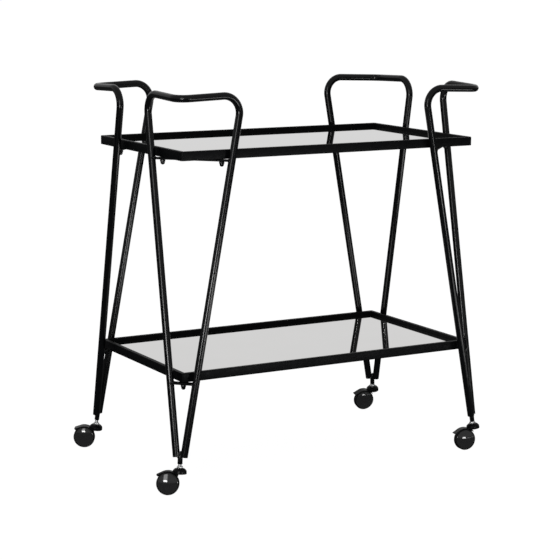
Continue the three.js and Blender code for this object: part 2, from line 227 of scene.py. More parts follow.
# The camera, whose sensor and lens are in millimetres, and the studio.
CAMERA_SENSOR = 36
CAMERA_LENS = 115.66
CAMERA_OFFSET = Vector((-2063.77, -3565.15, 1130.92)) * MM
CAMERA_AZIMUTH = math.radians(-29.886)
CAMERA_ELEVATION = math.radians(10.027)
CAMERA_ROLL = math.radians(0.329)
CAMERA_REACH = 2000
FLOOR_REACH = 500
FLOOR_GLOW = 0.06  # brightness of the world under the horizon
HORIZON = (0.03, 0.08)  # heights between which the world goes from the floor's glow to its walls
SIDE_WALL = 0.42
BACK_WALL = 0.7
WALL_TURN = (0.55, 0.88)  # cosines, from the back wall's middle, between which the walls blend

tray_low, tray_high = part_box("tray_frame")
shelf_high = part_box("shelf_frame")[1]
CENTRE = (tray_low + tray_high) / 2
CENTRE.z = 0
RAIL_BOTTOM = {"tray": tray_high.z - RAIL_HEIGHT, "shelf": shelf_high.z - RAIL_HEIGHT}
JOINTS = {joint["name"]: joint for joint in frame["joints"]}

# ---------- material nodes ----------

NOISE_MIDDLE = (0.3, 0.7)  # where most of a noise's values are
TINT_MIDDLE = (0.32, 0.68)


def node_material(name):
    """An empty material with a Principled shader: (material, its node tree, the shader)."""
    material = bpy.data.materials.new(name)
    material.use_nodes = True
    tree = material.node_tree
    return material, tree, tree.nodes["Principled BSDF"]


def noise(tree, size, detail, stretch=(1, 1, 1)):
    """A noise with features of about that size in metres, in the space of the piece."""
    place = tree.nodes.new("ShaderNodeTexCoord")
    mapping = tree.nodes.new("ShaderNodeMapping")
    mapping.inputs["Scale"].default_value = [share / size for share in stretch]
    tree.links.new(place.outputs["Object"], mapping.inputs["Vector"])
    texture = tree.nodes.new("ShaderNodeTexNoise")
    texture.inputs["Scale"].default_value = 1
    texture.inputs["Detail"].default_value = detail
    tree.links.new(mapping.outputs["Vector"], texture.inputs["Vector"])
    return texture.outputs["Fac"]


def spread(tree, value, low, high, source=NOISE_MIDDLE):
    """A value in the source range, as a noise mostly is, spread from low to high."""
    ranger = tree.nodes.new("ShaderNodeMapRange")
    ranger.inputs["From Min"].default_value = source[0]
    ranger.inputs["From Max"].default_value = source[1]
    ranger.inputs["To Min"].default_value = low
    ranger.inputs["To Max"].default_value = high
    tree.links.new(value, ranger.inputs["Value"])
    return ranger.outputs["Result"]


def tinted(tree, value, first, second):
    """A colour that runs from first to second with a noise."""
    ramp = tree.nodes.new("ShaderNodeValToRGB")
    for element, position, colour in zip(ramp.color_ramp.elements, TINT_MIDDLE, (first, second)):
        element.position = position
        element.color = (*colour, 1)
    tree.links.new(value, ramp.inputs["Fac"])
    return ramp.outputs["Color"]


def bump(tree, height, depth, normal=None):
    """A bump of that depth in metres, on top of another one if it is given."""
    node = tree.nodes.new("ShaderNodeBump")
    node.inputs["Strength"].default_value = 1
    node.inputs["Distance"].default_value = depth
    tree.links.new(height, node.inputs["Height"])
    if normal is not None:
        tree.links.new(normal, node.inputs["Normal"])
    return node.outputs["Normal"]


def wire(tree, shader, colour, gloss, normal=None):
    """Feeds a shader its colour, its roughness and, if it has one, its bump."""
    tree.links.new(colour, shader.inputs["Base Color"])
    tree.links.new(gloss, shader.inputs["Roughness"])
    if normal is not None:
        tree.links.new(normal, shader.inputs["Normal"])


def powder_coat(name, low, high, specular):
    """Black powder coat: a fine orange peel, and gloss that wanders between two roughnesses."""
    material, tree, shader = node_material(name)
    colour = tinted(tree, noise(tree, 9 * MM, 3), (0.0007, 0.0008, 0.0010), (0.0013, 0.0014, 0.0018))
    gloss = spread(tree, noise(tree, 15 * MM, 2), low, high)
    peel = bump(tree, noise(tree, 1.4 * MM, 1), 0.003 * MM)
    grain = bump(tree, noise(tree, 0.4 * MM, 1), 0.0005 * MM, peel)
    wire(tree, shader, colour, gloss, grain)
    shader.inputs["Specular IOR Level"].default_value = specular
    return material


def nylon(name, gloss_range, dark, light, grain_size, grain_depth, specular):
    """Black moulded plastic, with its gloss between two roughnesses."""
    material, tree, shader = node_material(name)
    colour = tinted(tree, noise(tree, 6 * MM, 3), dark, light)
    gloss = spread(tree, noise(tree, 2.5 * MM, 3), *gloss_range)
    grain = bump(tree, noise(tree, grain_size, 2), grain_depth)
    wire(tree, shader, colour, gloss, grain)
    shader.inputs["Specular IOR Level"].default_value = specular
    return material


def zinc_plate():
    """Bright zinc plate on turned steel: fine rings of the lathe and cloudy gloss."""
    material, tree, shader = node_material("zinc_plate")
    colour = tinted(tree, noise(tree, 2.2 * MM, 3), (0.63, 0.64, 0.65), (0.80, 0.80, 0.79))
    gloss = spread(tree, noise(tree, 1.2 * MM, 3), 0.34, 0.46)
    rings = bump(tree, noise(tree, 0.3 * MM, 1, stretch=(0.02, 0.02, 1)), 0.004 * MM)
    wire(tree, shader, colour, gloss, rings)
    shader.inputs["Metallic"].default_value = 1
    return material


def mirror_glass():
    """Float glass over silver: a clean reflection under a clear coat, with a faint haze of wiping."""
    material, tree, shader = node_material("mirror_glass")
    colour = tinted(tree, noise(tree, 90 * MM, 2), (0.842, 0.834, 0.823), (0.858, 0.848, 0.838))
    haze = spread(tree, noise(tree, 35 * MM, 4, stretch=(1, 3, 1)), 0.004, 0.014)
    wire(tree, shader, colour, haze)
    shader.inputs["Metallic"].default_value = 1
    shader.inputs["Coat Weight"].default_value = 0.6
    shader.inputs["Coat Roughness"].default_value = 0.01
    return material


def glass_edge():
    """The ground edge of the glass, which is grey-green and satin."""
    material, tree, shader = node_material("glass_edge")
    colour = tinted(tree, noise(tree, 1.5 * MM, 3), (0.42, 0.50, 0.47), (0.60, 0.68, 0.65))
    gloss = spread(tree, noise(tree, 0.8 * MM, 3), 0.18, 0.34)
    wire(tree, shader, colour, gloss)
    return material


def painted_board():
    """Fibreboard sprayed matt black: the soft nap of its fibres shows through."""
    material, tree, shader = node_material("painted_board")
    colour = tinted(tree, noise(tree, 7 * MM, 4), (0.014, 0.013, 0.012), (0.026, 0.024, 0.022))
    gloss = spread(tree, noise(tree, 4 * MM, 4), 0.62, 0.8)
    nap = bump(tree, noise(tree, 0.9 * MM, 4, stretch=(1, 0.25, 1)), 0.05 * MM)
    wire(tree, shader, colour, gloss, nap)
    return material


def pale_floor():
    """A floor that glows nearly white, so that it meets the background without an edge."""
    material, tree, shader = node_material("pale_floor")
    colour = tinted(tree, noise(tree, 400 * MM, 2), (0.055, 0.055, 0.055), (0.06, 0.06, 0.06))
    tree.links.new(colour, shader.inputs["Base Color"])
    shader.inputs["Roughness"].default_value = 0.9
    shader.inputs["Specular IOR Level"].default_value = 0
    shader.inputs["Emission Color"].default_value = (1, 1, 1, 1)
    shader.inputs["Emission Strength"].default_value = 0.985
    return material


PAINT = powder_coat("powder_coat", 0.175, 0.20, specular=0.28)
FRAME_PAINT = powder_coat("frame_powder_coat", 0.38, 0.5, specular=0.07)
NYLON = nylon(
    "nylon",
    gloss_range=(0.07, 0.09),
    dark=(0.0105, 0.0105, 0.011),
    light=(0.0125, 0.0125, 0.013),
    grain_size=2.5 * MM,
    grain_depth=0.002 * MM,
    specular=0.5,
)
HOOD = nylon(
    "hood",
    gloss_range=(0.24, 0.32),
    dark=(0.0016, 0.0016, 0.0019),
    light=(0.0026, 0.0026, 0.003),
    grain_size=0.7 * MM,
    grain_depth=0.012 * MM,
    specular=0.09,
)
TREAD = nylon(
    "tread",
    gloss_range=(0.38, 0.5),
    dark=(0.0015, 0.0015, 0.0015),
    light=(0.003, 0.003, 0.003),
    grain_size=0.5 * MM,
    grain_depth=0.03 * MM,
    specular=0.15,
)
ZINC = zinc_plate()
MIRROR = mirror_glass()
GLASS_EDGE = glass_edge()
BOARD = painted_board()

# ---------- mesh building ----------


class Shell:
    """The points and faces of a piece while it is being built."""

    def __init__(self):
        self.points = []
        self.faces = []
        self.slots = []
        self.slot = 0

    def ring(self, points):
        """Adds points and returns their numbers."""
        first = len(self.points)
        self.points.extend(points)
        return range(first, len(self.points))

    def face(self, corners):
        """A face in the slot that is set, without corners that repeat."""
        self.faces.append(tuple(dict.fromkeys(corners)))
        self.slots.append(self.slot)

    def bridge(self, a, b):
        """Faces between two closed rings. Either may be a single point."""
        count = max(len(a), len(b))
        for i in range(count):
            j = (i + 1) % count
            self.face([a[i % len(a)], a[j % len(a)], b[j % len(b)], b[i % len(b)]])

    def loft(self, rings, looped=False, capped=True):
        """Faces from ring to ring: closed into a loop, or with a face at each open end."""
        made = [self.ring(points) for points in rings]
        for a, b in zip(made, made[1:]):
            self.bridge(a, b)
        if looped:
            self.bridge(made[-1], made[0])
        elif capped:
            for end in (made[0], made[-1]):
                if len(end) > 2:
                    self.face(end)
        return made

    def mesh(self, name, materials, sharp=35):
        """The finished mesh. Edges that turn by more than sharp degrees stay hard."""
        mesh = bpy.data.meshes.new(name)
        mesh.from_pydata([tuple(point) for point in self.points], [], self.faces)
        for material in materials:
            mesh.materials.append(material)
        mesh.polygons.foreach_set("material_index", self.slots)
        work = bmesh.new()
        work.from_mesh(mesh)
        bmesh.ops.recalc_face_normals(work, faces=work.faces)
        work.to_mesh(mesh)
        work.free()
        mesh.shade_smooth()
        mesh.set_sharp_from_angle(angle=math.radians(sharp))
        return mesh


def add_object(name, data):
    """A new object in the scene that holds a mesh, a light or a camera."""
    added = bpy.data.objects.new(name, data)
    bpy.context.scene.collection.objects.link(added)
    return added


def add_piece(name, mesh, body, slot, *nodes, matrix=None):
    """Puts a mesh in the scene as a piece that rides on a body and stands for CAD nodes."""
    piece = add_object(name, mesh)
    if matrix is not None:
        piece.matrix_world = matrix
    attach(piece, body)
    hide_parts(*nodes)


def add_steel(node, mesh, matrix=None):
    """Puts a powder-coated piece of the frame in the scene."""
    add_piece(f"{node}_shape", mesh, "frame", "black_powder_coat", node, matrix=matrix)


def arc_at(before, corner, after, radius, steps):
    """The points of the arc that rounds a corner off, in two dimensions or three."""
    back = (before - corner).normalized()
    onward = (after - corner).normalized()
    turn = math.pi - back.angle(onward)
    start = corner + back * radius * math.tan(turn / 2)
    inward = (onward - back * back.dot(onward)).normalized()
    centre = start + inward * radius
    angles = [turn * i / steps for i in range(steps + 1)]
    return [centre - (inward * math.cos(a) + back * math.sin(a)) * radius for a in angles]


def rounded(corners, radius, steps):
    """A closed 2-D outline with every corner rounded off."""
    corners = [Vector(corner) for corner in corners]
    points = []
    for i, corner in enumerate(corners):
        after = corners[(i + 1) % len(corners)]
        points += arc_at(corners[i - 1], corner, after, radius, steps)
    return points


def softened(profile, radius, steps):
    """An open 2-D line with its inner corners rounded off."""
    line = [Vector(point) for point in profile]
    points = [line[0]]
    for before, corner, after in zip(line, line[1:], line[2:]):
        points += arc_at(before, corner, after, radius, steps)
    return points + [line[-1]]


def rectangle(length, depth, radius, height):
    """A level rounded rectangle round the middle of the cart."""
    x, y = length / 2, depth / 2
    outline = rounded([(x, y), (-x, y), (-x, -y), (x, -y)], radius, CORNER_STEPS)
    return [CENTRE + Vector((point.x, point.y, height)) for point in outline]


def polar(radius, angle, height=0):
    """The point at a radius and an angle round Z."""
    return Vector((radius * math.cos(angle), radius * math.sin(angle), height))


def full_turn(sides):
    """Evenly spaced angles all the way round."""
    return [2 * math.pi * i / sides for i in range(sides)]


def arc_angles(start, end, steps):
    """Evenly spaced angles from start to end, both included."""
    return [start + (end - start) * i / steps for i in range(steps + 1)]


def turned(profile, sides):
    """Rings of a surface of revolution about Z, from (radius, height) points."""
    angles = full_turn(sides)
    rings = []
    for radius, height in profile:
        spokes = angles if radius > ON_AXIS else [0]
        rings.append([polar(radius, a, height) for a in spokes])
    return rings


def hexagonal(flats, stations):
    """Rings of a hexagonal prism about Z. Each station's radius cuts its corners off as a cone does."""
    rings = []
    for limit, height in stations:
        ring = []
        for angle in full_turn(HEX_POINTS):
            sector = (angle + math.pi / 6) % (math.pi / 3) - math.pi / 6
            ring.append(polar(min(flats / 2 / math.cos(sector), limit), angle, height))
        rings.append(ring)
    return rings


def circle(radius, sides):
    """A round 2-D section."""
    return [(radius * math.cos(a), radius * math.sin(a)) for a in full_turn(sides)]


def sweep(path, section, side):
    """Rings of a 2-D section carried along a path without twist, from a first side direction."""
    rings = []
    last = len(path) - 1
    for i, point in enumerate(path):
        direction = (path[min(i + 1, last)] - path[max(i - 1, 0)]).normalized()
        side = (side - direction * side.dot(direction)).normalized()
        top = side.cross(direction)
        rings.append([point + side * u + top * v for u, v in section])
    return rings


# ---------- leg tubes ----------


def at_corner(plan, z, corner):
    """The point of a corner of the cart that is at a plan position and a height."""
    return CENTRE + Vector((plan.x * corner.x, plan.y * corner.y, z))


def risers_at(z, corner):
    """The middles of a leg's two risers at a height: that at the cart's end, then that at its side."""
    share = (z - FOOT_Z) / (HANDLE_Z - FOOT_Z)
    plans = (END_FOOT.lerp(END_TOP, share), SIDE_FOOT.lerp(SIDE_TOP, share))
    return [at_corner(plan, z, corner) for plan in plans]


def leg_path(corner):
    """The middle line of a leg tube, from one foot up, round the handle and down to the other."""
    end_foot, side_foot = risers_at(FOOT_Z, corner)
    end_top, side_top = risers_at(HANDLE_Z, corner)
    turn_point = at_corner(Vector((END_TOP.x, SIDE_TOP.y)), CORNER_Z, corner)
    return [
        end_foot,
        *arc_at(end_foot, end_top, turn_point, RISER_BEND, BEND_STEPS),
        *arc_at(end_top, turn_point, side_top, CORNER_BEND, BEND_STEPS),
        *arc_at(turn_point, side_top, side_foot, RISER_BEND, BEND_STEPS),
        side_foot,
    ]


def leg_tube(name, corner):
    """One bent tube. Its feet are open, so the wall and the first part of the bore show."""
    path = leg_path(corner)
    outside = sweep(path, circle(TUBE_RADIUS, TUBE_SIDES), Vector((corner.x, 0, 0)))
    shell = Shell()
    skin = shell.loft(outside, capped=False)
    wall_share = (TUBE_RADIUS - TUBE_BORE) / TUBE_RADIUS
    for end, foot, next_point in ((0, path[0], path[1]), (-1, path[-1], path[-2])):
        inward = (next_point - foot).normalized()
        spokes = [point - foot for point in outside[end]]
        rim = [foot + spoke * (TUBE_BORE / TUBE_RADIUS) for spoke in spokes]
        soft = [foot + spoke * (1 - wall_share * RIM_SHARE) - inward * RIM_HEIGHT for spoke in spokes]
        lip = shell.ring(soft)
        bore = shell.ring(rim)
        top = shell.ring([point + inward * HOLLOW_DEPTH for point in rim])
        shell.bridge(skin[end], lip)
        shell.bridge(lip, bore)
        shell.bridge(bore, top)
        shell.face(top)
    node = f"leg_tube_{name}"
    add_steel(node, shell.mesh(f"{node}_shape", [PAINT]))


# ---------- welds ----------


def weld_bead(shell, path, radius, normal):
    """A weld: a bead with the ripples of its puddles, tapered at its ends."""
    lengths = [0.0]
    for a, b in zip(path, path[1:]):
        lengths.append(lengths[-1] + (b - a).length)
    total = lengths[-1]
    rings = sweep(path, circle(1, WELD_SIDES), normal)
    for point, ring, along in zip(path, rings, lengths):
        ends = min(1, WELD_END + along / (2 * radius), WELD_END + (total - along) / (2 * radius))
        ripple = 1 - WELD_RIPPLE * abs(math.sin(math.pi * along / WELD_PITCH))
        size = radius * ends * ripple
        ring[:] = [point + (rim - point) * size for rim in ring]
    shell.loft(rings)


def weld_path(centre, radius, middle, half, steps):
    """A level arc round a centre, as far as half to both sides of its middle's heading."""
    return [centre + polar(radius, a) for a in arc_angles(middle - half, middle + half, steps)]


# ---------- caster sockets ----------


def socket_axis(corner):
    """The line that halves the angle of a leg's V: its point at the feet and its direction up."""
    foot = sum(risers_at(FOOT_Z, corner), Vector()) / 2
    top = sum(risers_at(HANDLE_Z, corner), Vector()) / 2
    return foot, (top - foot).normalized()


def axis_matrix(point, up, towards):
    """A frame at a point with Z along up and X as near as it can be to a direction."""
    x = (towards - up * towards.dot(up)).normalized()
    y = up.cross(x)
    matrix = Matrix((x, y, up)).transposed().to_4x4()
    matrix.translation = point
    return matrix


def caster_socket(name, corner):
    """The short sleeve that is welded between a leg's feet."""
    foot, up = socket_axis(corner)
    bottom = foot + up * ((SOCKET_BOTTOM_Z - foot.z) / up.z)
    wall = [
        (SOCKET_BORE, 0),
        (SOCKET_RADIUS, 0),
        (SOCKET_RADIUS, SOCKET_LENGTH),
        (SOCKET_BORE, SOCKET_LENGTH),
    ]
    shell = Shell()
    shell.loft(turned(rounded(wall, SOCKET_EDGE, SMALL_EDGE_STEPS), TUBE_SIDES), looped=True)
    node = f"caster_{name}_socket"
    place = axis_matrix(bottom, up, Vector((corner.x, 0, 0)))
    add_steel(node, shell.mesh(f"{node}_shape", [PAINT]), place)


def foot_weld(name, corner):
    """The welds that hold a socket: one round each foot's edge, and two in the crotch of the V."""
    foot, up = socket_axis(corner)
    shell = Shell()
    end_foot, side_foot = risers_at(FOOT_Z, corner)
    over = (side_foot - end_foot).normalized()
    out = over.cross(up).normalized() * CROTCH_INSET
    for side in (out, -out):
        heights = [CROTCH_WELD * i / CROTCH_STEPS - CROTCH_DROP for i in range(CROTCH_STEPS + 1)]
        weld_bead(shell, [foot + side + up * height for height in heights], CROTCH_BEAD, over)
    heading = math.atan2(over.y, over.x)
    for middle in (heading + math.pi, heading):
        path = weld_path(foot - up * SOCKET_WELD_DROP, SOCKET_RADIUS + SOCKET_WELD_GAP,
                         middle, SOCKET_WELD_HALF, SOCKET_WELD_STEPS)
        weld_bead(shell, path, SOCKET_WELD, UP)
    piece = add_object(f"foot_weld_{name}", shell.mesh(f"foot_weld_{name}", [PAINT], 60))
    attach(piece, "frame")


# ---------- tray and shelf ----------


def outline_loft(shell, section, length, depth):
    """A ring-shaped solid: level outlines stacked by a closed section of (inset, height)."""
    rings = []
    for inset, height in section:
        corner = max(FRAME_CORNER - inset, INNER_CORNER)
        rings.append(rectangle(length - 2 * inset, depth - 2 * inset, corner, height))
    shell.loft(rings, looped=True)


def tray_frame(name):
    """The frame of the tray or the shelf: its rails, and the ledge that the board lies on."""
    node = f"{name}_frame"
    low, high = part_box(node)
    length, depth = high.x - low.x, high.y - low.y
    bottom, top = RAIL_BOTTOM[name], high.z
    shell = Shell()
    rail = [(0, bottom), (RAIL_WIDTH, bottom), (RAIL_WIDTH, top), (0, top)]
    outline_loft(shell, rounded(rail, RAIL_EDGE, RAIL_EDGE_STEPS), length, depth)
    outer, inner = RAIL_WIDTH - LEDGE_OVERLAP, RAIL_WIDTH + LEDGE_WIDTH
    under, over = bottom + LEDGE_RAISE, bottom + LEDGE_THICKNESS
    ledge = [(outer, under), (inner, under), (inner, over), (outer, over)]
    outline_loft(shell, rounded(ledge, LEDGE_EDGE, SMALL_EDGE_STEPS), length, depth)
    add_steel(node, shell.mesh(f"{node}_shape", [FRAME_PAINT]))


def panel(node, slot, face, edge, arris):
    """A flat panel that lies in a frame, with its edges eased."""
    low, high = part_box(node)
    length, depth = high.x - low.x, high.y - low.y
    section = [(arris, low.z), (0, low.z + arris), (0, high.z - arris), (arris, high.z)]
    rings = []
    for inset, height in section:
        rings.append(rectangle(length - 2 * inset, depth - 2 * inset, PANEL_CORNER, height))
    shell = Shell()
    shell.slot = 1
    made = shell.loft(rings, capped=False)
    shell.slot = 0
    shell.face(made[-1])
    shell.face(made[0])
    mesh = shell.mesh(f"{node}_shape", [face, edge], 20)
    add_piece(f"{node}_shape", mesh, "frame", slot, node)


# ---------- braces ----------


def brace(name, level, corner):
    """A flat bar from riser to riser, welded to both tubes, over and under."""
    node = f"{level}_brace_{name}"
    low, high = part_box(node)
    ends = risers_at((low.z + high.z) / 2, corner)
    along = (ends[1] - ends[0]).normalized()
    half_width, half_thickness = BRACE_WIDTH / 2, BRACE_THICKNESS / 2
    section = [
        (half_width, half_thickness),
        (-half_width, half_thickness),
        (-half_width, -half_thickness),
        (half_width, -half_thickness),
    ]
    shell = Shell()
    shell.loft(sweep(ends, rounded(section, BRACE_EDGE, BRACE_EDGE_STEPS), along.cross(UP).normalized()))
    for tube, inward in ((ends[0], along), (ends[1], -along)):
        heading = math.atan2(inward.y, inward.x)
        for height in (half_thickness, -half_thickness):
            path = weld_path(tube + UP * height, TUBE_RADIUS + BRACE_WELD_GAP,
                             heading, BRACE_WELD_HALF, BRACE_WELD_STEPS)
            weld_bead(shell, path, BRACE_WELD, UP)
    add_steel(node, shell.mesh(f"{node}_shape", [PAINT], 50))


# ---------- cap nuts ----------


def cap_nut_mesh():
    """A cap nut that hangs under z = 0: a chamfered hexagon, a neck and a dome."""
    corner = NUT_FLATS / math.sqrt(3)
    low = -NUT_HEX_HEIGHT
    dome_top = low - NUT_NECK
    stations = [
        (NUT_BORE, -NUT_BORE_DEPTH),
        (NUT_BORE, -NUT_COUNTERSINK),
        (NUT_BORE + NUT_COUNTERSINK, 0),
        (NUT_FLATS / 2 - NUT_FACE_EDGE, 0),
        (corner, -NUT_TOP_CHAMFER),
        (corner, low + NUT_LOW_CHAMFER),
        (NUT_DOME_RADIUS + NUT_SHOULDER, low + NUT_SHOULDER_HEIGHT),
        (NUT_DOME_RADIUS, low),
        (NUT_DOME_RADIUS, dome_top),
    ]
    for i in range(1, NUT_DOME_STEPS):
        turn = math.pi / 2 * i / NUT_DOME_STEPS
        stations.append((NUT_DOME_RADIUS * math.cos(turn), dome_top - NUT_DOME_RADIUS * math.sin(turn)))
    shell = Shell()
    bore_end = [Vector((0, 0, -NUT_BORE_DEPTH))]
    dome_end = [Vector((0, 0, dome_top - NUT_DOME_RADIUS))]
    shell.loft([bore_end, *hexagonal(NUT_FLATS, stations), dome_end])
    return shell.mesh("cap_nut_shape", [PAINT], 28)


# ---------- stems ----------


def thread_ring(height):
    """A ring of the rolled thread's surface, whose groove fades out at the stem's top."""
    taper = min(1, (STEM_TOP - height) / THREAD_PITCH)
    ring = []
    for j, angle in enumerate(full_turn(STEM_SIDES)):
        phase = (height / THREAD_PITCH - j / STEM_SIDES) % 1
        groove = min(1, THREAD_CREST * (1 - abs(2 * phase - 1)))
        ring.append(polar(STEM_RADIUS - THREAD_DEPTH * (1 - groove * taper), angle, height))
    return ring


def stem_mesh():
    """A caster's stem: a plain end in the caster, a hexagonal collar, and a rolled M8 thread above it."""
    shell = Shell()
    shank = [
        (0, STEM_BOTTOM),
        (STEM_RADIUS - STEM_CHAMFER, STEM_BOTTOM),
        (STEM_RADIUS, STEM_BOTTOM + STEM_CHAMFER),
        (STEM_RADIUS, HEX_BOTTOM + HEX_LOW_CHAMFER),
        (0, HEX_BOTTOM + HEX_LOW_CHAMFER),
    ]
    shell.loft(turned(shank, STEM_SIDES))
    corner, flat = HEX_FLATS / math.sqrt(3), HEX_FLATS / 2
    shell.loft(hexagonal(HEX_FLATS, [
        (flat - HEX_LOW_EDGE, HEX_BOTTOM),
        (flat, HEX_BOTTOM + HEX_LOW_EDGE_HEIGHT),
        (corner, HEX_BOTTOM + HEX_LOW_CHAMFER),
        (corner, HEX_TOP - HEX_TOP_CHAMFER),
        *((flat - inset, HEX_TOP - depth) for inset, depth in HEX_CROWN),
    ]))
    start = HEX_TOP - THREAD_START
    count = math.ceil((STEM_TOP - start) / THREAD_PITCH * THREAD_STEPS)
    heights = [start + (STEM_TOP - start) * i / count for i in range(count + 1)]
    ends = [[Vector((0, 0, height))] for height in (start, STEM_TOP)]
    shell.loft([ends[0], *map(thread_ring, heights), ends[1]])
    return shell.mesh("stem_shape", [ZINC], 40)


# ---------- casters ----------

# A caster's own frame has Z up along its stem, X towards its trailing side and the axle at height 0.
# The wheels turn about the line along Y at x = TRAIL.


def round_axle(radius, start, end, steps):
    """An arc round the axle, as (x, z) points."""
    angles = arc_angles(start, end, steps)
    return [(TRAIL + radius * math.cos(a), radius * math.sin(a)) for a in angles]


def hood_outline():
    """The hood from the side: an arc over the wheels, with a lip that leaves it along a tangent."""
    inner = WHEEL_RADIUS + WHEEL_CLEARANCE
    outer = inner + HOOD_THICKNESS
    tangent = HOOD_START + math.acos(outer / HOOD_LIP)
    return [
        *round_axle(outer, tangent, HOOD_END, HOOD_OUTER_STEPS),
        *round_axle(inner, HOOD_END, HOOD_START, HOOD_INNER_STEPS),
        (TRAIL + HOOD_LIP * math.cos(HOOD_START), HOOD_LIP * math.sin(HOOD_START)),
    ]


def fin_rings():
    """The web between the wheels, as rings round the axle's hole and its outline."""
    edge = WHEEL_RADIUS + WHEEL_CLEARANCE + HOOD_THICKNESS / 2
    outline = [
        *round_axle(edge, HOOD_START, HOOD_END, FIN_STEPS),
        *round_axle(HUB_RADIUS, math.pi, 2 * math.pi, HUB_STEPS),
    ]
    dense = []
    for (x0, z0), (x1, z1) in zip(outline, outline[1:] + outline[:1]):
        for i in range(FIN_SPLIT):
            dense.append((x0 + (x1 - x0) * i / FIN_SPLIT, z0 + (z1 - z0) * i / FIN_SPLIT))
    rings = []
    for side, bored in ((-1, False), (1, False), (1, True), (-1, True)):
        ring = []
        for x, z in dense:
            scale = AXLE_BORE / math.hypot(x - TRAIL, z) if bored else 1
            ring.append(Vector((TRAIL + (x - TRAIL) * scale, side * FIN_THICKNESS / 2, z * scale)))
        rings.append(ring)
    return rings


def moulded(name, shell):
    """The union of a shell's closed solids, with its edges and corners filleted as in a mould."""
    rough = add_object(name, shell.mesh(name, [HOOD]))
    remesh = rough.modifiers.new("remesh", "REMESH")
    remesh.mode = "VOXEL"
    remesh.voxel_size = MOULD_VOXEL
    smooth = rough.modifiers.new("smooth", "SMOOTH")
    smooth.factor = MOULD_SOFTNESS
    smooth.iterations = MOULD_SMOOTHING
    decimate = rough.modifiers.new("decimate", "DECIMATE")
    decimate.ratio = MOULD_KEPT
    bpy.context.view_layer.update()
    seen = rough.evaluated_get(bpy.context.evaluated_depsgraph_get())
    mesh = bpy.data.meshes.new_from_object(seen)
    bpy.data.objects.remove(rough)
    return mesh


def clear_wheels(mesh):
    """Moves what the moulding left in the wheels' room out to the edge of that room."""
    room = WHEEL_RADIUS + WHEEL_CLEARANCE
    for vertex in mesh.vertices:
        from_axle = Vector((vertex.co.x - TRAIL, vertex.co.z))
        if abs(vertex.co.y) > WHEEL_INSIDE - MOULD_SLACK and from_axle.length < room:
            from_axle *= room / from_axle.length
            vertex.co.x, vertex.co.z = TRAIL + from_axle.x, from_axle.y


def caster_body_mesh():
    """The moulded body: the boss round the stem, the hood over both wheels and the web between them."""
    hole = [Vector((radius, STEM_BOTTOM - STEM_ROOM)) for radius in (SOCKET_BORE, 0)]
    crown = [(BOSS_RADIUS - inset, BOSS_TOP - depth) for inset, depth in BOSS_CROWN]
    boss = softened([(0, BOSS_BOTTOM), (BOSS_RADIUS, BOSS_BOTTOM), *crown, (SOCKET_BORE, BOSS_TOP)],
                    BOSS_FILLET, BOSS_FILLET_STEPS)
    shell = Shell()
    shell.loft(turned(boss + hole, BOSS_SIDES))
    hood = hood_outline()
    shell.loft([[Vector((x, y, z)) for x, z in hood] for y in (-HOOD_WIDTH / 2, HOOD_WIDTH / 2)])
    shell.loft(fin_rings(), looped=True)
    mesh = moulded("caster_body_shape", shell)
    clear_wheels(mesh)
    mesh.materials.clear()
    mesh.materials.append(HOOD)
    mesh.shade_smooth()
    return mesh


def dome_height(radius):
    """How high a wheel's outer face stands over its inner face at a radius."""
    return WHEEL_THICKNESS - DOME_RADIUS + math.sqrt(DOME_RADIUS**2 - radius**2)


def wheel_mesh():
    """A wheel with its inner face at z = 0: a recessed inner face, a satin tread and a polished dome."""
    bore = AXLE_LENGTH / 2 - WHEEL_INSIDE + AXLE_ROOM
    edge = dome_height(DOME_EDGE)
    inside = [
        (AXLE_BORE, bore),
        (AXLE_BORE, 0),
        (WHEEL_HUB, 0),
        (WHEEL_HUB, WHEEL_RECESS),
        (WHEEL_RIM, WHEEL_RECESS),
        (WHEEL_RIM, 0),
        (WHEEL_RADIUS, 0),
        (WHEEL_RADIUS, TREAD_WIDTH),
        (WHEEL_RADIUS - TREAD_SHOULDER, edge - TREAD_SHOULDER_DEPTH),
        (DOME_EDGE + GROOVE, edge - TREAD_LIP_DEPTH),
    ]
    tread = [
        *softened(inside, WHEEL_FILLET, SMALL_EDGE_STEPS),
        (DOME_EDGE + GROOVE, edge - GROOVE_DEPTH),
        (DOME_EDGE, edge - GROOVE_DEPTH),
    ]
    radii = [DOME_EDGE * (1 - i / DOME_STEPS) for i in range(1, DOME_STEPS + 1)]
    dome = [
        (DOME_EDGE, edge - DOME_LIP_DEPTH),
        (DOME_EDGE - DOME_BEVEL, edge - DOME_BEVEL_DEPTH),
        *((radius, dome_height(radius)) for radius in radii),
    ]
    shell = Shell()
    rings = [shell.ring(ring) for ring in turned([(0, bore), *tread, *dome], WHEEL_SIDES)]
    for i, (a, b) in enumerate(zip(rings, rings[1:])):
        shell.slot = 1 if i <= len(tread) else 0
        shell.bridge(a, b)
    return shell.mesh("wheel_shape", [NYLON, TREAD], 30)


def axle_mesh():
    """The axle, with its ends chamfered, along Z."""
    end = AXLE_LENGTH / 2
    profile = [
        (0, -end),
        (AXLE_RADIUS - AXLE_CHAMFER, -end),
        (AXLE_RADIUS, -end + AXLE_CHAMFER),
        (AXLE_RADIUS, end - AXLE_CHAMFER),
        (AXLE_RADIUS - AXLE_CHAMFER, end),
        (0, end),
    ]
    shell = Shell()
    shell.loft(turned(profile, STEM_SIDES))
    return shell.mesh("axle_shape", [ZINC])


